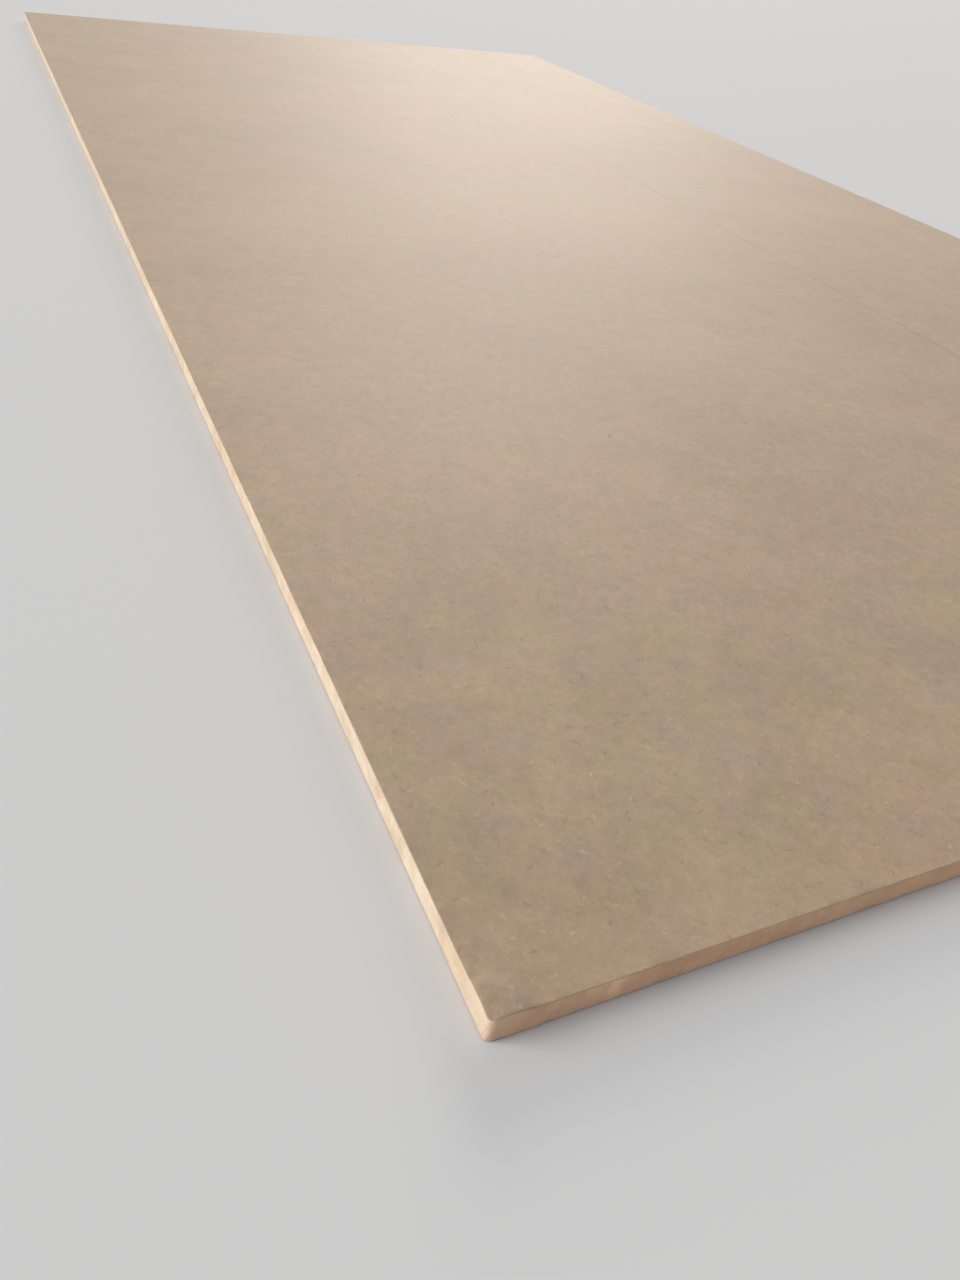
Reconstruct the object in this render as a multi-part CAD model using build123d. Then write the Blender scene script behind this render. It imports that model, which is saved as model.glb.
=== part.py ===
from build123d import *
import os

# Full sheet of raw medium density fibreboard lying flat, in millimetres.
# The length runs along X, the width along Y and the thickness up Z.
# The origin is the middle of the face that rests on the floor.

# Sheet size
board_length = 2440.0
board_width = 1220.0
board_thickness = 15.0

# Sawn edges, with arrises and corners softened by handling
arris_radius = 0.6
corner_radius = 2.0

# Knocked corner, rounder in plan and swollen on the upper face, farthest along the long edge
knock_radius = 3.5
swell_length = 40.0
swell_width = 24.0
swell_height = 1.8

# The crown of the swelling is cut larger than it shows, so that its rim lies inside the sheet
crown_overrun = 1.5
crown_turn = 6.0

# Places that follow from the sizes
half_length = board_length / 2
half_width = board_width / 2
mid_thickness = board_thickness / 2
swollen_thickness = board_thickness + swell_height
knocked_corner = Vector(-half_length, half_width, 0)

# Outline of the sheet, one corner rounder than the other three
with BuildSketch() as outline:
    Rectangle(board_length, board_width)
    corners = outline.vertices().sort_by_distance(knocked_corner)
    fillet(corners[1:], corner_radius)
    fillet(outline.vertices().sort_by_distance(knocked_corner)[0], knock_radius)

# Flat sheet
with BuildPart() as sheet:
    add(outline.sketch)
    extrude(amount=board_thickness)

# Section of the crown across the long edge, an arc with its top at the knocked corner
across_radius = (swell_width**2 + swell_height**2) / (2 * swell_height)
crown_width = crown_overrun * swell_width
crown_rim_y = half_width - crown_width
crown_rim_z = swollen_thickness - across_radius + (across_radius**2 - crown_width**2) ** 0.5

# Swelling, the section turned about a far axis below, so that it sinks away along the long edge
along_radius = (swell_length**2 + swell_height**2) / (2 * swell_height)
crown_axis = Axis((-half_length, 0, swollen_thickness - along_radius), (0, 1, 0))
with BuildPart() as swelling:
    with BuildSketch(Plane.YZ.offset(-half_length)):
        with BuildLine():
            Polyline(
                (half_width, swollen_thickness),
                (half_width, mid_thickness),
                (crown_rim_y, mid_thickness),
                (crown_rim_y, crown_rim_z),
            )
            RadiusArc((crown_rim_y, crown_rim_z), (half_width, swollen_thickness), across_radius)
        make_face()
    revolve(axis=crown_axis, revolution_arc=crown_turn)
    add(outline.sketch)
    extrude(amount=swollen_thickness, mode=Mode.INTERSECT)

# One solid, with its arrises softened all round both faces, and the crease of the swelling left soft
swollen_sheet = sheet.part + swelling.part
diagonal = 0.5**0.5
crease_x = diagonal * swell_length - half_length
crease_y = half_width - diagonal * swell_width
flat_edges = swollen_sheet.edges().filter_by(Axis.Z, reverse=True)
swell_crease = flat_edges.sort_by_distance(Vector(crease_x, crease_y, board_thickness))[0]
soft_edges = flat_edges.filter_by(lambda edge: edge != swell_crease)
mdf_board = fillet(soft_edges, arris_radius)
mdf_board.label = "mdf_board"

os.makedirs("parts", exist_ok=True)
export_step(mdf_board, "parts/mdf_board.step")
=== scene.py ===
import math
import bpy
from mathutils import Matrix, Vector


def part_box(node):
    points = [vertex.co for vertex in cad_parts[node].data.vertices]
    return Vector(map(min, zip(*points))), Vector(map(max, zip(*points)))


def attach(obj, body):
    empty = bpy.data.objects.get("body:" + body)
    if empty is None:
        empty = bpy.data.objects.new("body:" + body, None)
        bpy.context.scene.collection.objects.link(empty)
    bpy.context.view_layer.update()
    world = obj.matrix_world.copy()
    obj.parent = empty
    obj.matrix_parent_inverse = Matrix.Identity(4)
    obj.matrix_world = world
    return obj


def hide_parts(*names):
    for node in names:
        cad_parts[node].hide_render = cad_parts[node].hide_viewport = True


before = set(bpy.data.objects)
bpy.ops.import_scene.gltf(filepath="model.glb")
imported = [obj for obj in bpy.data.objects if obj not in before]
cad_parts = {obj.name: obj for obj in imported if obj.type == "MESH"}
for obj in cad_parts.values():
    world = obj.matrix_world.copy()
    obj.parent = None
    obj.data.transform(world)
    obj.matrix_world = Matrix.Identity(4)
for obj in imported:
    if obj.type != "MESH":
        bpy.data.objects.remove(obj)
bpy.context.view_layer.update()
bodyName = "root"
nodeName = "mdf_board"
sheetLow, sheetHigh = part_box(nodeName)
knockedCorner = Vector((sheetLow.x, sheetHigh.y, 0.0))
print("frame loaded, board", [round(side, 4) for side in sheetHigh - sheetLow])


# Camera, standing off the knocked corner and looking down along the sheet

shot = {
    "place": (-1.38, 0.73, 0.35),   # metres
    "heading": 29.3,                # degrees from the length of the sheet, towards its plain long edge
    "down": 37.9,                   # degrees below level
    "roll": 9.1,
    "lens": 27.03,
    "sensor": 36.0,
}


def standCamera():
    heading, down, roll = (math.radians(shot[name]) for name in ("heading", "down", "roll"))
    level = math.cos(down)
    ahead = Vector((math.cos(heading) * level, -math.sin(heading) * level, -math.sin(down)))
    right = ahead.cross(Vector((0, 0, 1))).normalized()
    up = right.cross(ahead)
    tiltedRight = right * math.cos(roll) + up * math.sin(roll)
    tiltedUp = up * math.cos(roll) - right * math.sin(roll)
    lens = bpy.data.cameras.new("boardCamera")
    lens.lens = shot["lens"]
    lens.sensor_width = shot["sensor"]
    camera = bpy.data.objects.new("boardCamera", lens)
    turn = Matrix((tiltedRight, tiltedUp, -ahead)).transposed().to_4x4()
    camera.matrix_world = Matrix.Translation(shot["place"]) @ turn
    bpy.context.scene.collection.objects.link(camera)
    bpy.context.scene.camera = camera


standCamera()
print("camera placed")


# Small helpers for the shape tree and the finishes

def feed(tree, socket, value):
    # a value is a number, a vector, a material or another node's output
    if isinstance(value, bpy.types.NodeSocket):
        tree.links.new(value, socket)
    else:
        socket.default_value = value


def addNode(tree, kind, inputs=None, **settings):
    node = tree.nodes.new(kind)
    for name, value in settings.items():
        setattr(node, name, value)
    for key, value in (inputs or {}).items():
        feed(tree, node.inputs[key], value)
    return node


def calc(tree, operation, *values):
    return addNode(tree, "ShaderNodeMath", dict(enumerate(values)), operation=operation).outputs[0]


def addUp(tree, first, *others):
    for other in others:
        first = calc(tree, "ADD", first, other)
    return first


def multiply(tree, first, *others):
    for other in others:
        first = calc(tree, "MULTIPLY", first, other)
    return first


def vecCalc(tree, operation, *values):
    node = addNode(tree, "ShaderNodeVectorMath", dict(enumerate(values)), operation=operation)
    givesNumber = operation in ("LENGTH", "DISTANCE", "DOT_PRODUCT")
    return node.outputs["Value" if givesNumber else "Vector"]


def vecScale(tree, vector, factor):
    node = addNode(tree, "ShaderNodeVectorMath", {0: vector, "Scale": factor}, operation="SCALE")
    return node.outputs["Vector"]


def splitXyz(tree, vector):
    return addNode(tree, "ShaderNodeSeparateXYZ", {0: vector}).outputs


def joinXyz(tree, x=0.0, y=0.0, z=0.0):
    return addNode(tree, "ShaderNodeCombineXYZ", {0: x, 1: y, 2: z}).outputs[0]


def remap(tree, value, fromLow, fromHigh, toLow=0.0, toHigh=1.0, smooth=False):
    limits = {0: value, 1: fromLow, 2: fromHigh, 3: toLow, 4: toHigh}
    style = "SMOOTHSTEP" if smooth else "LINEAR"
    return addNode(tree, "ShaderNodeMapRange", limits, interpolation_type=style).outputs[0]


def noise(tree, vector, scale, seed, detail=2.0, roughness=0.5):
    node = tree.nodes.new("ShaderNodeTexNoise")
    node.noise_dimensions = "4D"
    given = {"Vector": vector, "W": seed, "Scale": scale, "Detail": detail, "Roughness": roughness}
    for name, value in given.items():
        feed(tree, node.inputs[name], value)
    return node.outputs[0]


def swing(tree, value, amount):
    # centred on nothing, so that it adds as much as it takes away
    return multiply(tree, calc(tree, "SUBTRACT", value, 0.5), amount)


def blendNumbers(tree, factor, first, second):
    return addNode(tree, "ShaderNodeMix", {0: factor, 2: first, 3: second}, data_type="FLOAT").outputs[0]


def newTree(name, kind, inputs, outputs):
    tree = bpy.data.node_groups.new(name, kind)
    for direction, sockets in (("INPUT", inputs), ("OUTPUT", outputs)):
        for label, socketKind in sockets:
            tree.interface.new_socket(label, in_out=direction, socket_type="NodeSocket" + socketKind)
    return tree, tree.nodes.new("NodeGroupInput").outputs, tree.nodes.new("NodeGroupOutput").inputs


# The sheet, swept round its outline with a rounded section

sheet = {
    "Length": 2.44,
    "Width": 1.22,
    "Thickness": 0.015,
    "Arris": 0.0006,            # rounding of every long corner
    "Corner Radius": 0.002,
    "Knocked Radius": 0.0035,   # the knocked corner, seen from above
    "Swell Length": 0.040,      # how far the bruise lifts the face, along the long edge
    "Swell Width": 0.024,       # and along the end
    "Swell Height": 0.00178,
    "Lump Reach": 0.022,        # the steeper lump in the middle of the swelling
    "Lump Top": 0.7,            # share of its reach that is at full height
    "Lump Share": 0.55,         # how much of the height it has
    "Bruise Scale": 260.0,      # unevenness of the swelling
    "Bruise Hollow": 0.85,      # share of the lift that is left in its hollows
    "Tip Reach": 0.0095,        # crushed tip of the corner
    "Tip Core": 0.0014,         # wholly crushed as far out as this
    "Tip Drop": 0.0014,
    "Rim": 0.0264,              # finely divided border of both faces
    "Step Along": 0.004,        # steps along the outline
    "Step Bruise": 0.0014,      # the same along the bruise
    "Step Across": 0.0019,      # steps up the edge
    "Step Rim": 0.0022,         # and across the border
    "Chip Depth": 0.0007,       # small chips in the arrises
    "Chip Size": 0.009,
    "Chip Onset": 0.58,         # raise both of these for fewer chips
    "Chip Full": 0.80,
    "Chip Near": 0.0007,        # they fade out between these distances from the arris
    "Chip Far": 0.0034,
    "Wander": 0.00015,          # unevenness of the saw cut
    "Wander Scale": 14.0,
    "Give": 0.006,              # how far in from the edge the border gives way to both
    "Seed": 7.0,
}
cornerSteps = 5
arrisSteps = 3
hairline = 0.00001              # a distance that counts as none


def evenCuts(tree, step):
    # cuts that divide the run to the next point into equal steps
    position = addNode(tree, "GeometryNodeInputPosition").outputs[0]
    following = addNode(tree, "GeometryNodeOffsetPointInCurve", {"Offset": 1}).outputs["Point Index"]
    ahead = tree.nodes.new("GeometryNodeFieldAtIndex")
    ahead.data_type, ahead.domain = "FLOAT_VECTOR", "POINT"
    feed(tree, ahead.inputs["Index"], following)
    feed(tree, ahead.inputs["Value"], position)
    run = vecCalc(tree, "DISTANCE", position, ahead.outputs[0])
    pieces = calc(tree, "ROUND", calc(tree, "DIVIDE", run, step))
    return calc(tree, "MAXIMUM", calc(tree, "SUBTRACT", pieces, 1.0), 0.0)


def divide(tree, curve, cuts):
    return addNode(tree, "GeometryNodeSubdivideCurve", {"Curve": curve, "Cuts": cuts}).outputs[0]


def roundOff(tree, curve, steps, radius):
    corners = {"Curve": curve, "Count": steps, "Radius": radius}
    return addNode(tree, "GeometryNodeFilletCurve", corners, mode="POLY").outputs[0]


def capture(tree, geometry, **values):
    node = addNode(tree, "GeometryNodeCaptureAttribute", {"Geometry": geometry}, domain="POINT")
    for name, value in values.items():
        node.capture_items.new("VECTOR", name)
        feed(tree, node.inputs[name], value)
    return node.outputs


def weld(tree, mesh):
    return addNode(tree, "GeometryNodeMergeByDistance", {"Geometry": mesh, "Distance": hairline}).outputs[0]


def sheetOutline(tree, given, position, corner):
    # one corner is rounder than the others, and the steps are shorter along the bruise
    spot = splitXyz(tree, position)
    size = {"Width": given["Length"], "Height": given["Width"]}
    plain = addNode(tree, "GeometryNodeCurvePrimitiveQuadrilateral", size, mode="RECTANGLE").outputs[0]
    isKnocked = multiply(tree, calc(tree, "LESS_THAN", spot[0], 0.0),
                         calc(tree, "GREATER_THAN", spot[1], 0.0))
    rounder = calc(tree, "SUBTRACT", given["Knocked Radius"], given["Corner Radius"])
    radius = addUp(tree, multiply(tree, isKnocked, rounder), given["Corner Radius"])
    line = divide(tree, roundOff(tree, plain, cornerSteps, radius), evenCuts(tree, given["Step Along"]))
    atBruise = calc(tree, "LESS_THAN", vecCalc(tree, "DISTANCE", position, corner), given["Swell Length"])
    line = divide(tree, line, multiply(tree, evenCuts(tree, given["Step Bruise"]), atBruise))
    tangent = addNode(tree, "GeometryNodeInputTangent").outputs[0]
    sideways = vecCalc(tree, "CROSS_PRODUCT", (0.0, 0.0, 1.0), tangent)
    inwardSign = calc(tree, "SIGN", multiply(tree, vecCalc(tree, "DOT_PRODUCT", sideways, position), -1.0))
    return capture(tree, line, Outline=position, Inward=vecScale(tree, sideways, inwardSign),
                   Round=joinXyz(tree, radius))


def edgeSection(tree, given, position):
    # from the inner rim of the lower face round the edge to that of the upper face
    points = {
        "Point 1": joinXyz(tree, given["Rim"]),
        "Point 2": (0.0, 0.0, 0.0),
        "Point 3": joinXyz(tree, 0.0, given["Thickness"]),
        "Point 4": joinXyz(tree, given["Rim"], given["Thickness"]),
    }
    closed = addNode(tree, "GeometryNodeCurvePrimitiveQuadrilateral", points, mode="POINTS").outputs[0]
    opened = addNode(tree, "GeometryNodeSetSplineCyclic", {"Geometry": closed, "Cyclic": False}).outputs[0]
    line = roundOff(tree, opened, arrisSteps, given["Arris"])
    onEdge = calc(tree, "LESS_THAN", splitXyz(tree, position)[0], hairline)
    finer = calc(tree, "SUBTRACT", given["Step Across"], given["Step Rim"])
    step = addUp(tree, given["Step Rim"], multiply(tree, onEdge, finer))
    return capture(tree, divide(tree, line, evenCuts(tree, step)), Section=position)


def bruiseLift(tree, given, flat, corner):
    # a low swelling with a lump on it, and its tip crushed
    lowNoise, highNoise = 0.25, 0.7     # where its hollows and its full height lie
    reach = joinXyz(tree, given["Swell Length"], given["Swell Width"], 1.0)
    away = vecCalc(tree, "LENGTH", vecCalc(tree, "DIVIDE", vecCalc(tree, "SUBTRACT", flat, corner), reach))
    dome = calc(tree, "MAXIMUM", calc(tree, "SUBTRACT", 1.0, calc(tree, "POWER", away, 2.0)), 0.0)
    fromTip = vecCalc(tree, "DISTANCE", flat, corner)
    lumpTop = multiply(tree, given["Lump Reach"], given["Lump Top"])
    lump = remap(tree, fromTip, given["Lump Reach"], lumpTop, smooth=True)
    bruised = noise(tree, flat, given["Bruise Scale"], given["Seed"], detail=3.0)
    uneven = remap(tree, bruised, lowNoise, highNoise, given["Bruise Hollow"], 1.0)
    lift = multiply(tree, blendNumbers(tree, given["Lump Share"], dome, lump), uneven, given["Swell Height"])
    crushed = calc(tree, "POWER", remap(tree, fromTip, given["Tip Reach"], given["Tip Core"]), 2.0)
    return calc(tree, "SUBTRACT", lift, multiply(tree, crushed, given["Tip Drop"]))


def arrisChips(tree, given, flat, inset, height, isUpper):
    upperShift = 0.7                    # gives the upper arris chips of its own
    toFace = calc(tree, "MINIMUM", height, calc(tree, "SUBTRACT", given["Thickness"], height))
    fromArris = addUp(tree, inset, toFace)
    nearArris = remap(tree, fromArris, given["Chip Near"], given["Chip Far"], 1.0, 0.0, smooth=True)
    spot = vecCalc(tree, "ADD", flat, joinXyz(tree, 0.0, 0.0, multiply(tree, isUpper, upperShift)))
    bites = noise(tree, spot, calc(tree, "DIVIDE", 1.0, given["Chip Size"]), given["Seed"])
    depth = remap(tree, bites, given["Chip Onset"], given["Chip Full"])
    return multiply(tree, depth, nearArris, given["Chip Depth"])


def sawWander(tree, given, flat, height):
    lowNoise, highNoise = 0.3, 0.7      # where the cut is shallowest and deepest
    spot = vecCalc(tree, "ADD", flat, joinXyz(tree, 0.0, 0.0, height))
    waveSeed = addUp(tree, given["Seed"], 3.0)
    wave = noise(tree, spot, given["Wander Scale"], waveSeed)
    return multiply(tree, remap(tree, wave, lowNoise, highNoise), given["Wander"])


def fillFaces(tree, given, border, position, middle):
    # the rim's loop is filled on the floor, and a raised copy closes the upper face
    neighbours = addNode(tree, "GeometryNodeInputMeshEdgeNeighbors").outputs[0]
    isOpen = calc(tree, "LESS_THAN", neighbours, 1.5)      # an open edge has only one facet
    isHigh = calc(tree, "GREATER_THAN", splitXyz(tree, position)[2], middle)
    rim = {"Mesh": border, "Selection": multiply(tree, isOpen, isHigh)}
    rimLine = addNode(tree, "GeometryNodeMeshToCurve", rim).outputs[0]
    field = addNode(tree, "GeometryNodeFillCurve", {"Curve": rimLine}).outputs[0]
    lower = addNode(tree, "GeometryNodeFlipFaces", {"Mesh": field}).outputs[0]
    rise = joinXyz(tree, 0.0, 0.0, given["Thickness"])
    upper = addNode(tree, "GeometryNodeSetPosition", {"Geometry": field, "Offset": rise}).outputs[0]
    joined = tree.nodes.new("GeometryNodeJoinGeometry")
    for part in (border, lower, upper):
        tree.links.new(part, joined.inputs[0])
    return weld(tree, joined.outputs[0])


def layFinishes(tree, given, mesh, inset):
    # shading follows which way each facet looks, and the edge finish ends halfway round the arris
    levelFacing, edgeFacing = 0.99999, 0.95
    arrisShare = 0.3
    normal = addNode(tree, "GeometryNodeInputNormal").outputs[0]
    facing = calc(tree, "ABSOLUTE", splitXyz(tree, normal)[2])
    smooth = {"Geometry": mesh, "Shade Smooth": calc(tree, "LESS_THAN", facing, levelFacing)}
    mesh = addNode(tree, "GeometryNodeSetShadeSmooth", smooth).outputs[0]
    mesh = addNode(tree, "GeometryNodeRealizeInstances", {"Geometry": mesh}).outputs[0]
    overall = {"Geometry": mesh, "Material": given["Face Finish"]}
    mesh = addNode(tree, "GeometryNodeSetMaterial", overall).outputs[0]
    isOuter = calc(tree, "LESS_THAN", inset, multiply(tree, given["Arris"], arrisShare))
    isSawn = multiply(tree, isOuter, calc(tree, "LESS_THAN", facing, edgeFacing))
    sides = {"Geometry": mesh, "Selection": isSawn, "Material": given["Edge Finish"]}
    return addNode(tree, "GeometryNodeSetMaterial", sides).outputs[0]


def boardShape():
    inputs = [(label, "Float") for label in sheet]
    inputs += [("Face Finish", "Material"), ("Edge Finish", "Material")]
    tree, given, result = newTree("boardShape", "GeometryNodeTree", inputs, [("Geometry", "Geometry")])
    halfLength, halfWidth, middle = [
        multiply(tree, given[side], 0.5) for side in ("Length", "Width", "Thickness")]
    position = addNode(tree, "GeometryNodeInputPosition").outputs[0]
    corner = joinXyz(tree, multiply(tree, halfLength, -1.0), halfWidth)
    outline = sheetOutline(tree, given, position, corner)
    section = edgeSection(tree, given, position)
    swept = addNode(tree, "GeometryNodeCurveToMesh", {
        "Curve": outline["Geometry"], "Profile Curve": section["Geometry"]}).outputs[0]

    # every point goes to its inset and height, and the rim closes up in the corners
    across = splitXyz(tree, section["Section"])
    inset, height = across[0], across[1]
    turn = splitXyz(tree, outline["Round"])[0]
    inwards = vecScale(tree, outline["Inward"], calc(tree, "MINIMUM", inset, turn))
    plan = splitXyz(tree, vecCalc(tree, "ADD", outline["Outline"], inwards))
    placed = []
    for axis, half in enumerate((halfLength, halfWidth)):
        limit = calc(tree, "SUBTRACT", half, inset)
        within = calc(tree, "MINIMUM", plan[axis], limit)
        placed.append(calc(tree, "MAXIMUM", within, multiply(tree, limit, -1.0)))
    flat = joinXyz(tree, *placed)

    # the bruise lifts the upper face, and less and less of it reaches down to the middle
    isUpper = calc(tree, "GREATER_THAN", height, middle)
    towardsTop = remap(tree, height, middle, given["Thickness"])
    lift = multiply(tree, bruiseLift(tree, given, flat, corner), towardsTop)

    # chips in the arrises and the slight wander of the saw, both only ever inwards
    chips = arrisChips(tree, given, flat, inset, height, isUpper)
    cutBack = addUp(tree, chips, sawWander(tree, given, flat, height))
    pushed = []
    for axis, half in enumerate((halfLength, halfWidth)):
        fromSide = calc(tree, "SUBTRACT", half, calc(tree, "ABSOLUTE", placed[axis]))
        share = remap(tree, fromSide, given["Arris"], given["Give"], 1.0, 0.0, smooth=True)
        inwardSide = multiply(tree, calc(tree, "SIGN", placed[axis]), -1.0)
        pushed.append(addUp(tree, placed[axis], multiply(tree, cutBack, share, inwardSide)))
    chipDrop = multiply(tree, chips, remap(tree, isUpper, 0.0, 1.0, 1.0, -1.0))
    settled = joinXyz(tree, *pushed, addUp(tree, height, lift, chipDrop))
    border = addNode(tree, "GeometryNodeSetPosition", {"Geometry": swept, "Position": settled}).outputs[0]
    border = weld(tree, addNode(tree, "GeometryNodeFlipFaces", {"Mesh": border}).outputs[0])
    whole = fillFaces(tree, given, border, position, middle)
    feed(tree, result["Geometry"], layFinishes(tree, given, whole, inset))
    return tree


def keepTwoFinishes(mesh, finishes):
    # the first slot of the shaped mesh is empty, and the finishes move up into it
    numbers = [facet.material_index - 1 for facet in mesh.polygons]
    mesh.materials.clear()
    for finish in finishes.values():
        mesh.materials.append(finish)
    mesh.polygons.foreach_set("material_index", numbers)


def makeBoard(finishes):
    tree = boardShape()
    board = bpy.data.objects.new("fibreboard_sheet", bpy.data.meshes.new("fibreboard_sheet"))
    bpy.context.scene.collection.objects.link(board)
    shaping = board.modifiers.new("boardShape", "NODES")
    shaping.node_group = tree
    chosen = dict(sheet, **finishes)
    for socket in tree.interface.items_tree:
        if socket.in_out == "INPUT":
            shaping[socket.identifier] = chosen[socket.name]
    board.update_tag()
    shaped = board.evaluated_get(bpy.context.evaluated_depsgraph_get())
    settled = bpy.data.meshes.new_from_object(shaped)
    board.modifiers.remove(shaping)
    board.data = settled
    keepTwoFinishes(settled, finishes)
    settled.calc_loop_triangles()
    print("board shaped,", len(settled.loop_triangles), "triangles")
    return board


# Effects that both finishes use

def redraw(tree, chance, spin):
    # another random number out of the same one
    return calc(tree, "FRACT", multiply(tree, chance, spin))


def fibreFlecks():
    # short bundles of fibre, one to a cell, each turned its own way
    bendSpin, lengthSpin = 9.0, 7.0     # any two numbers that mix up the chances of a cell
    mostBend = 1.8
    longest, shortest = 0.85, 2.2       # the larger the number, the shorter the fibre
    solidShare = 0.35                   # how much of a fibre comes before its soft outline
    faintest = 0.35
    tree, given, result = newTree("fibreFlecks", "ShaderNodeTree", [
        ("Coordinates", "Vector"), ("Cell Size", "Float"), ("Length", "Float"),
        ("Width", "Float"), ("Share", "Float")], [("Mask", "Float")])
    scaled = vecScale(tree, given["Coordinates"], calc(tree, "DIVIDE", 1.0, given["Cell Size"]))
    cells = addNode(tree, "ShaderNodeTexVoronoi", {"Vector": scaled, "Scale": 1.0}, voronoi_dimensions="2D")
    local = splitXyz(tree, vecCalc(tree, "SUBTRACT", scaled, cells.outputs["Position"]))
    chance = splitXyz(tree, cells.outputs["Color"])
    angle = multiply(tree, chance[0], math.tau)
    cosine, sine = calc(tree, "COSINE", angle), calc(tree, "SINE", angle)
    lengthways = addUp(tree, multiply(tree, local[0], cosine), multiply(tree, local[1], sine))
    crossways = calc(tree, "SUBTRACT", multiply(tree, local[1], cosine), multiply(tree, local[0], sine))
    # most are a little bent, and some are shorter than others
    bend = swing(tree, redraw(tree, chance[1], bendSpin), mostBend)
    crossways = calc(tree, "SUBTRACT", crossways, multiply(tree, bend, calc(tree, "POWER", lengthways, 2.0)))
    shortening = remap(tree, redraw(tree, chance[0], lengthSpin), 0.0, 1.0, longest, shortest)
    lengthways = multiply(tree, lengthways, shortening)
    away = vecCalc(tree, "LENGTH", joinXyz(tree, calc(tree, "DIVIDE", lengthways, given["Length"]),
                                           calc(tree, "DIVIDE", crossways, given["Width"])))
    body = remap(tree, away, 1.0, solidShare, smooth=True)
    present = calc(tree, "LESS_THAN", chance[1], given["Share"])
    strength = remap(tree, chance[2], 0.0, 1.0, faintest, 1.0)
    feed(tree, result["Mask"], multiply(tree, body, present, strength))
    return tree


def boardClouds():
    # soft changes of tone and warmth that wander over the board
    toneSpan, warmthSpan = (0.3, 0.7), (0.35, 0.65)     # what the noise mostly covers
    warmthFiner = 1.7
    tree, given, result = newTree("boardClouds", "ShaderNodeTree", [
        ("Coordinates", "Vector"), ("Size", "Float"), ("Seed", "Float")],
        [("Tone", "Float"), ("Warmth", "Float")])
    scale = calc(tree, "DIVIDE", 1.0, given["Size"])
    tone = noise(tree, given["Coordinates"], scale, given["Seed"], detail=3.0, roughness=0.55)
    finer, warmthSeed = multiply(tree, scale, warmthFiner), addUp(tree, given["Seed"], 5.0)
    warmth = noise(tree, given["Coordinates"], finer, warmthSeed)
    feed(tree, result["Tone"], remap(tree, tone, *toneSpan, smooth=True))
    feed(tree, result["Warmth"], remap(tree, warmth, *warmthSpan, smooth=True))
    return tree


def hueDrift():
    # small patches that lean to red or green, and others to yellow or blue, on top of a tone
    blueCoarser = 0.84
    tree, given, result = newTree("hueDrift", "ShaderNodeTree", [
        ("Coordinates", "Vector"), ("Size", "Float"), ("Seed", "Float"), ("Tone", "Float"),
        ("Red Swing", "Float"), ("Blue Swing", "Float")], [("Tint", "Color")])
    place, tone = given["Coordinates"], given["Tone"]
    scale = calc(tree, "DIVIDE", 1.0, given["Size"])
    coarser, blueSeed = multiply(tree, scale, blueCoarser), addUp(tree, given["Seed"], 2.0)
    reddish = noise(tree, place, scale, given["Seed"], detail=4.0, roughness=0.66)
    bluish = noise(tree, place, coarser, blueSeed, detail=4.0, roughness=0.66)
    red = addUp(tree, tone, swing(tree, reddish, given["Red Swing"]))
    blue = addUp(tree, tone, swing(tree, bluish, given["Blue Swing"]))
    feed(tree, result["Tint"], joinXyz(tree, red, tone, blue))
    return tree


def useGroup(tree, group, values):
    node = tree.nodes.new("ShaderNodeGroup")
    node.node_tree = group
    for name, value in values.items():
        feed(tree, node.inputs[name], value)
    return node.outputs


def blend(tree, factor, first, second, style="MIX"):
    node = addNode(tree, "ShaderNodeMix", None, data_type="RGBA", blend_type=style)
    for socket, value in zip((node.inputs[0], node.inputs[6], node.inputs[7]), (factor, first, second)):
        feed(tree, socket, value)
    return node.outputs[2]


def newFinish(name):
    finish = bpy.data.materials.new(name)
    finish.use_nodes = True
    return finish, finish.node_tree, finish.node_tree.nodes["Principled BSDF"]


flecks = fibreFlecks()
clouds = boardClouds()
drift = hueDrift()
darkFibre = (0.205, 0.143, 0.090, 1)
paleFibre = (0.570, 0.450, 0.330, 1)
fibreShift = (3.17, 1.71)      # from one kind of fibre to the next, so that their cells differ


def scatterFibres(tree, place, colour, fibres):
    for index, fibre in enumerate(fibres):
        moved = vecCalc(tree, "ADD", place, (fibreShift[0] * index, fibreShift[1] * index, 0.0))
        mask = useGroup(tree, flecks, {
            "Coordinates": moved, "Cell Size": fibre["cell"], "Length": fibre["length"],
            "Width": fibre["width"], "Share": fibre["share"]})["Mask"]
        colour = blend(tree, multiply(tree, mask, fibre["strength"]), colour, fibre["colour"])
    return colour


def tintColour(tree, place, colour, tone, look, seed):
    tint = useGroup(tree, drift, {
        "Coordinates": place, "Size": look["driftSize"], "Seed": seed, "Tone": tone,
        "Red Swing": look["redSwing"], "Blue Swing": look["blueSwing"]})["Tint"]
    return blend(tree, 1.0, colour, tint, "MULTIPLY")


def dressShader(tree, shader, look, colour, rough, relief):
    bump = addNode(tree, "ShaderNodeBump", {
        "Height": relief, "Strength": look["bumpStrength"], "Distance": look["bumpDepth"]}).outputs[0]
    given = {
        "Base Color": colour, "Roughness": rough, "Normal": bump, "Specular IOR Level": look["gloss"],
        "Sheen Weight": look["sheen"], "Sheen Roughness": look["sheenRough"], "Sheen Tint": look["sheenTint"]}
    for name, value in given.items():
        feed(tree, shader.inputs[name], value)


# Sanded faces

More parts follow.
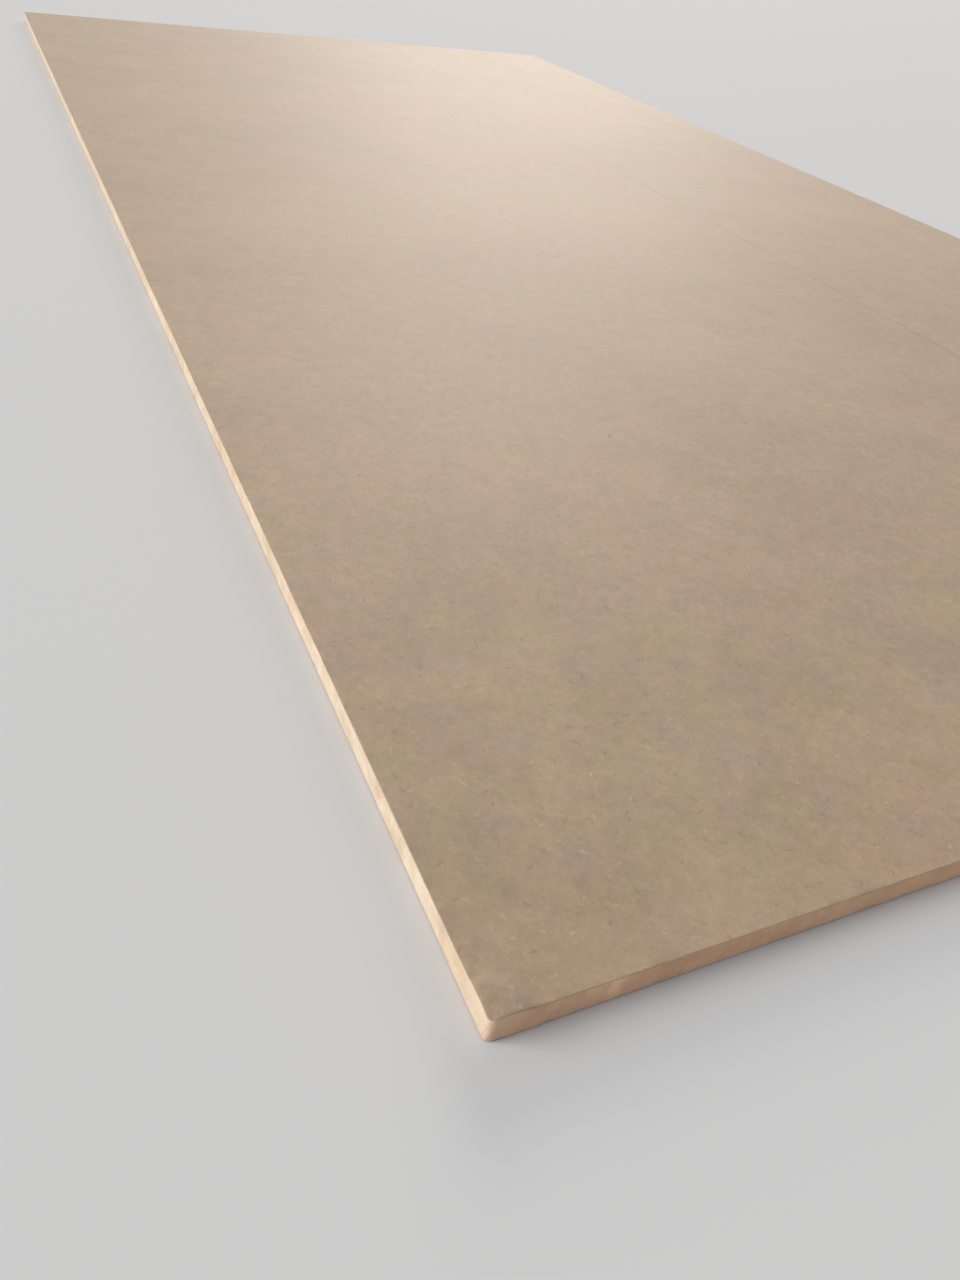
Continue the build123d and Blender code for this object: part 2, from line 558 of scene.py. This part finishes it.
face = {
    "tan": (0.350, 0.257, 0.173, 1),       # main tone, linear colour
    "pinkish": (0.362, 0.254, 0.175, 1),   # clouds one way
    "olive": (0.333, 0.254, 0.165, 1),     # clouds the other way
    "tanShare": (0.25, 0.75),              # least and most of the main tone in them
    "cloudSize": 0.33,                     # changes of tone, from the broadest to the finest
    "cloudTone": 0.10,
    "patchSize": 0.045,
    "patchTone": 0.10,
    "blotchScale": 80.0,
    "blotchTone": 0.28,
    "speckleScale": 230.0,
    "speckleTone": 0.45,
    "grainScale": 900.0,
    "grainTone": 0.26,
    "driftSize": 0.022,
    "redSwing": 0.19,                      # small patches that lean to red or green
    "blueSwing": 0.29,                     # and to yellow or blue
    "fibres": [
        {"cell": 0.0021, "length": 0.48, "width": 0.12, "share": 0.45, "strength": 0.42, "colour": darkFibre},
        {"cell": 0.0026, "length": 0.46, "width": 0.11, "share": 0.50, "strength": 0.34, "colour": paleFibre},
        {"cell": 0.0095, "length": 0.38, "width": 0.11, "share": 0.32, "strength": 0.46, "colour": darkFibre},
        {"cell": 0.0125, "length": 0.24, "width": 0.07, "share": 0.26, "strength": 0.34, "colour": paleFibre},
        {"cell": 0.17, "length": 0.012, "width": 0.009, "share": 0.5, "strength": 0.9,
         "colour": (0.05, 0.036, 0.025, 1)},   # rare specks of bark
    ],
    "sideShift": 7.3,                      # gives each face fibres of its own
    "lineFromEdge": 0.42,                  # faint ruled line, measured from the plain long edge
    "lineWidth": 0.0022,
    "lineBend": 0.0012,
    "bendScale": 3.0,
    "lineStart": 0.19,                     # where it begins, measured from the knocked end
    "lineFadeIn": 0.06,
    "linePressure": (0.26, 0.74),          # faintest and darkest
    "pressureSpan": (0.40, 0.60),          # the narrower, the more of it is one or the other
    "pressureScale": 5.0,
    "lineColour": (0.135, 0.092, 0.058, 1),
    "roughness": 0.60,
    "patchRough": 0.02,                    # how much rougher the patches and the grain are
    "grainRough": 0.08,
    "gloss": 0.36,
    "sheen": 0.14,
    "sheenRough": 0.45,
    "sheenTint": (1.0, 0.93, 0.86, 1),
    "sanding": (22.0, 1500.0, 1.0),        # scratches, drawn out along the length
    "sandingRelief": 0.35,
    "grainRelief": 0.8,
    "lineRelief": -1.2,                    # the pencil leaves a groove
    "bumpStrength": 0.35,
    "bumpDepth": 0.00012,
}


def ruledLine(tree, place, isUpper):
    # a faint line along the upper face, lighter where the pencil was pressed less
    xyz = splitXyz(tree, place)
    bend = swing(tree, noise(tree, place, face["bendScale"], seed=8.0), face["lineBend"])
    offLine = calc(tree, "SUBTRACT", addUp(tree, xyz[1], bend), sheetLow.y + face["lineFromEdge"])
    outerSide, solidSide = face["lineWidth"] / 2, face["lineWidth"] / 5
    line = remap(tree, calc(tree, "ABSOLUTE", offLine), outerSide, solidSide, smooth=True)
    pressed = noise(tree, place, face["pressureScale"], seed=9.0, detail=4.0)
    pressure = remap(tree, pressed, *face["pressureSpan"], *face["linePressure"])
    start = sheetLow.x + face["lineStart"]
    begun = multiply(tree, isUpper, remap(tree, xyz[0], start, start + face["lineFadeIn"]))
    return multiply(tree, line, pressure, begun)


def sandedFace():
    finish, tree, shader = newFinish("sandedFace")
    place = addNode(tree, "ShaderNodeTexCoord").outputs["Object"]
    isUpper = calc(tree, "GREATER_THAN", splitXyz(tree, place)[2], sheet["Thickness"] / 2)
    broad = useGroup(tree, clouds, {"Coordinates": place, "Size": face["cloudSize"], "Seed": 1.0})
    patch = useGroup(tree, clouds, {"Coordinates": place, "Size": face["patchSize"], "Seed": 3.0})
    blotch = noise(tree, place, face["blotchScale"], seed=5.0, detail=3.0, roughness=0.6)
    speckle = noise(tree, place, face["speckleScale"], seed=4.0, detail=3.0, roughness=0.65)
    grain = noise(tree, place, face["grainScale"], seed=2.0, roughness=0.7)
    # clouds of hue and tone, with the fibres and the line over them
    colour = blend(tree, broad["Warmth"], face["olive"], face["pinkish"])
    colour = blend(tree, remap(tree, patch["Warmth"], 0.0, 1.0, *face["tanShare"]), colour, face["tan"])
    tone = addUp(tree, swing(tree, broad["Tone"], face["cloudTone"]),
                 swing(tree, patch["Tone"], face["patchTone"]), swing(tree, blotch, face["blotchTone"]),
                 swing(tree, speckle, face["speckleTone"]), swing(tree, grain, face["grainTone"]), 1.0)
    colour = tintColour(tree, place, colour, tone, face, seed=31.0)
    bySide = vecCalc(tree, "ADD", place, joinXyz(tree, multiply(tree, isUpper, face["sideShift"])))
    colour = scatterFibres(tree, bySide, colour, face["fibres"])
    line = ruledLine(tree, place, isUpper)
    colour = blend(tree, line, colour, face["lineColour"])
    rough = addUp(tree, multiply(tree, patch["Tone"], face["patchRough"]),
                  multiply(tree, grain, face["grainRough"]), face["roughness"])
    # fine tooth, sanding scratches along the length and the line's groove
    sanding = noise(tree, vecCalc(tree, "MULTIPLY", place, face["sanding"]), 1.0, seed=6.0)
    relief = addUp(tree, multiply(tree, grain, face["grainRelief"]),
                   multiply(tree, sanding, face["sandingRelief"]), multiply(tree, line, face["lineRelief"]))
    dressShader(tree, shader, face, colour, rough, relief)
    return finish


# Sawn edges

edge = {
    "litLongCore": (0.690, 0.585, 0.440, 1),  # loose pale middle of the thickness, long edges, made paler still by painted light
    "litLongWarm": (0.535, 0.405, 0.265, 1),  # darker mottling
    "shadedEndCore": (0.718, 0.450, 0.268, 1),   # the same on both ends, made redder and darker by painted shade
    "shadedEndWarm": (0.552, 0.332, 0.190, 1),
    "shadedEndTurn": (0.0018, 0.0006),           # the colours change between these distances from the end, from the long edges' painted light to the ends' painted shade
    "mottleSize": 0.016,                   # darker mottling, small and broad
    "mottleShare": 0.62,
    "cloudSize": 0.12,
    "cloudShare": 0.25,
    "rosy": (1.02, 0.97, 1.01, 1),         # tints some patches, the others stay tan
    "skin": (0.450, 0.305, 0.200, 1),      # dense layers next to both faces
    "skinDepth": (0.0022, 0.0002),
    "skinStrength": 0.25,
    "skinRagged": 0.0012,
    "raggedScale": 260.0,
    "layers": (240.0, 1000.0, 1.0),        # thin pressed layers, drawn out along the edge
    "layerTone": 0.20,
    "blotchScale": 95.0,
    "blotchTone": 0.42,
    "grainScale": 1100.0,
    "grainTone": 0.34,
    "driftSize": 0.011,
    "redSwing": 0.12,
    "blueSwing": 0.26,
    "fibres": [
        {"cell": 0.0023, "length": 0.46, "width": 0.11, "share": 0.36, "strength": 0.30, "colour": darkFibre},
        {"cell": 0.0040, "length": 0.40, "width": 0.14, "share": 0.30, "strength": 0.30, "colour": paleFibre},
    ],
    "saw": {                               # marks of the teeth
        "pitch": 0.0042, "lean": 0.22, "wobble": 0.006, "wobbleScale": 45.0, "crest": 0.35,
        "fade": (0.42, 0.7), "fadeScale": 60.0, "tone": -0.07, "relief": -0.6,
    },
    "scuff": (0.880, 0.575, 0.360, 1),
    "scuffFoot": 0.1,                      # how strong a scuff is at its low end
    "scuffFray": 0.010,
    "frayScale": 170.0,
    "scuffs": [                            # across the knocked end
        {"fromCorner": 0.057, "length": 0.0060, "low": 0.001, "high": 0.008, "strength": 0.88},
        {"fromCorner": 0.047, "length": 0.0065, "low": 0.008, "high": 0.013, "strength": 0.45},
    ],
    "pale": (0.760, 0.620, 0.470, 1),      # loose fibre at the bruised corner and on rubbed arrises
    "bruiseReach": (0.024, 0.004),         # from the corner, where it starts and where it is full
    "bruiseHeights": (0.004, 0.013),
    "bruiseStrength": (0.08, 0.34),        # at those heights
    "rubDepth": (0.0009, 0.0001),
    "rubScale": 70.0,
    "rubPatches": (0.4, 0.65),
    "rubStrength": 0.5,
    "roughness": (0.78, 0.92),
    "gloss": 0.5,
    "sheen": 0.15,
    "sheenRough": 0.5,
    "sheenTint": (1.0, 0.92, 0.82, 1),
    "layerRelief": 0.5,
    "bumpStrength": 0.6,
    "bumpDepth": 0.0003,
}


def sawScores(tree, along, height, place):
    # shallow marks of the teeth, leaning a little and fading in and out
    saw = edge["saw"]
    wobble = multiply(tree, noise(tree, place, saw["wobbleScale"], seed=19.0), saw["wobble"])
    leaning = addUp(tree, along, multiply(tree, height, saw["lean"]), wobble)
    wave = calc(tree, "SINE", multiply(tree, leaning, math.tau / saw["pitch"]))
    bite = remap(tree, noise(tree, place, saw["fadeScale"], seed=21.0), *saw["fade"])
    return multiply(tree, remap(tree, wave, saw["crest"], 1.0, smooth=True), bite)


def edgeLayers(tree, place, xyz, toFace):
    # a mottled middle, made paler on the long edges by painted light and redder on both ends by painted
    # shade, between darker dense skins with a ragged border
    endStart, endFull = (sheetHigh.x - turn for turn in edge["shadedEndTurn"])
    onShadedEnd = remap(tree, calc(tree, "ABSOLUTE", xyz[0]), endStart, endFull, smooth=True)
    core = blend(tree, onShadedEnd, edge["litLongCore"], edge["shadedEndCore"])
    warm = blend(tree, onShadedEnd, edge["litLongWarm"], edge["shadedEndWarm"])
    mottle = useGroup(tree, clouds, {"Coordinates": place, "Size": edge["mottleSize"], "Seed": 11.0})
    broad = useGroup(tree, clouds, {"Coordinates": place, "Size": edge["cloudSize"], "Seed": 13.0})
    patches = addUp(tree, multiply(tree, mottle["Tone"], edge["mottleShare"]),
                    multiply(tree, broad["Warmth"], edge["cloudShare"]))
    colour = blend(tree, patches, core, warm)
    colour = blend(tree, mottle["Warmth"], colour, edge["rosy"], "MULTIPLY")
    ragged = swing(tree, noise(tree, place, edge["raggedScale"], seed=12.0), edge["skinRagged"])
    skin = remap(tree, addUp(tree, toFace, ragged), *edge["skinDepth"], smooth=True)
    return blend(tree, multiply(tree, skin, edge["skinStrength"]), colour, edge["skin"])


def markScuffs(tree, place, xyz, colour):
    # pale scuffs across the knocked end, with frayed outlines
    onKnockedEnd = calc(tree, "LESS_THAN", xyz[0], sheetLow.x + sheet["Corner Radius"])
    fray = swing(tree, noise(tree, place, edge["frayScale"], seed=25.0, detail=4.0), edge["scuffFray"])
    for scuff in edge["scuffs"]:
        middle = knockedCorner.y - scuff["fromCorner"]
        offMiddle = calc(tree, "ABSOLUTE", calc(tree, "SUBTRACT", middle, xyz[1]))
        mark = remap(tree, addUp(tree, offMiddle, fray), scuff["length"], 0.0, smooth=True)
        strength = remap(tree, xyz[2], scuff["low"], scuff["high"], edge["scuffFoot"], scuff["strength"])
        colour = blend(tree, multiply(tree, mark, strength, onKnockedEnd), colour, edge["scuff"])
    return colour


def looseFibre(tree, place, xyz, toFace):
    # round the bruised corner, and in patches along the rubbed arrises
    fromCorner = vecCalc(tree, "DISTANCE", joinXyz(tree, xyz[0], xyz[1]), knockedCorner)
    loosened = remap(tree, xyz[2], *edge["bruiseHeights"], *edge["bruiseStrength"])
    bruise = multiply(tree, remap(tree, fromCorner, *edge["bruiseReach"], smooth=True), loosened)
    rubbing = noise(tree, place, edge["rubScale"], seed=23.0, detail=3.0)
    patchy = remap(tree, rubbing, *edge["rubPatches"], 0.0, edge["rubStrength"])
    rubbed = multiply(tree, remap(tree, toFace, *edge["rubDepth"], smooth=True), patchy)
    return calc(tree, "MAXIMUM", bruise, rubbed)


def sawnEdge():
    finish, tree, shader = newFinish("sawnEdge")
    place = addNode(tree, "ShaderNodeTexCoord").outputs["Object"]
    xyz = splitXyz(tree, place)
    along = addUp(tree, xyz[0], xyz[1])     # one of the two stays the same on each edge
    strip = joinXyz(tree, along, xyz[2])
    toFace = calc(tree, "MINIMUM", xyz[2], calc(tree, "SUBTRACT", sheet["Thickness"], xyz[2]))
    layers = noise(tree, vecCalc(tree, "MULTIPLY", strip, edge["layers"]), 1.0, seed=15.0, detail=3.0)
    grain = noise(tree, place, edge["grainScale"], seed=17.0, roughness=0.7)
    blotch = noise(tree, place, edge["blotchScale"], seed=27.0, detail=3.0)
    score = sawScores(tree, along, xyz[2], place)
    tone = addUp(tree, swing(tree, layers, edge["layerTone"]), swing(tree, grain, edge["grainTone"]),
                 swing(tree, blotch, edge["blotchTone"]), multiply(tree, score, edge["saw"]["tone"]), 1.0)
    colour = edgeLayers(tree, place, xyz, toFace)
    colour = tintColour(tree, place, colour, tone, edge, seed=35.0)
    colour = scatterFibres(tree, strip, colour, edge["fibres"])
    colour = markScuffs(tree, place, xyz, colour)
    colour = blend(tree, looseFibre(tree, place, xyz, toFace), colour, edge["pale"])
    rough = remap(tree, grain, 0.0, 1.0, *edge["roughness"])
    relief = addUp(tree, grain, multiply(tree, layers, edge["layerRelief"]),
                   multiply(tree, score, edge["saw"]["relief"]))
    dressShader(tree, shader, edge, colour, rough, relief)
    return finish


board = makeBoard({"Face Finish": sandedFace(), "Edge Finish": sawnEdge()})
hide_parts(nodeName)
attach(board, bodyName)
print("board dressed")


# Pale floor, soft studio light

studio = {
    "floorSize": 120.0,
    "floorLevel": -0.0002,     # just clear of the underside
    "floorColour": (0.60, 0.605, 0.615, 1),
    "floorGloss": 0.2,
    "roomColour": (0.95, 0.97, 1.0, 1),
    "roomLight": 0.42,
    "backdrop": 0.70,          # how bright the room looks where it is seen or mirrored
    "lamps": {                 # the spread is in degrees, and a wider one gives a softer shadow
        "keyLamp": {
            "from": (0.22, 0.86, 0.46), "spread": 38.0, "strength": 3.25, "colour": (1.0, 0.965, 0.92)},
        "farLamp": {
            "from": (0.87, -0.44, 0.26), "spread": 26.0, "strength": 1.7, "colour": (1.0, 0.93, 0.86)},
    },
}


def layFloor():
    half, level = studio["floorSize"] / 2, studio["floorLevel"]
    corners = [(x * half, y * half, level) for x, y in ((-1, -1), (1, -1), (1, 1), (-1, 1))]
    mesh = bpy.data.meshes.new("studioFloor")
    mesh.from_pydata(corners, [], [(0, 1, 2, 3)])
    floor = bpy.data.objects.new("studioFloor", mesh)
    finish, tree, shader = newFinish("studioFloor")
    feed(tree, shader.inputs["Base Color"], studio["floorColour"])
    feed(tree, shader.inputs["Roughness"], 1.0)
    feed(tree, shader.inputs["Specular IOR Level"], studio["floorGloss"])
    mesh.materials.append(finish)
    bpy.context.scene.collection.objects.link(floor)


def lightRoom():
    world = bpy.data.worlds.new("studioRoom")
    world.use_nodes = True
    tree = world.node_tree
    background = tree.nodes["Background"]
    ray = addNode(tree, "ShaderNodeLightPath").outputs
    mirrored = calc(tree, "MAXIMUM", ray["Is Glossy Ray"], ray["Is Transmission Ray"])
    seen = calc(tree, "MAXIMUM", ray["Is Camera Ray"], mirrored)
    brightness = remap(tree, seen, 0.0, 1.0, studio["roomLight"], studio["backdrop"])
    feed(tree, background.inputs["Color"], studio["roomColour"])
    feed(tree, background.inputs["Strength"], brightness)
    bpy.context.scene.world = world
    for name, lamp in studio["lamps"].items():
        light = bpy.data.lights.new(name, "SUN")
        light.angle = math.radians(lamp["spread"])
        light.energy = lamp["strength"]
        light.color = lamp["colour"]
        stand = bpy.data.objects.new(name, light)
        stand.matrix_world = Vector(lamp["from"]).to_track_quat("Z", "Y").to_matrix().to_4x4()
        bpy.context.scene.collection.objects.link(stand)


layFloor()
lightRoom()
bpy.context.scene.view_settings.view_transform = "Standard"
print("studio lit")
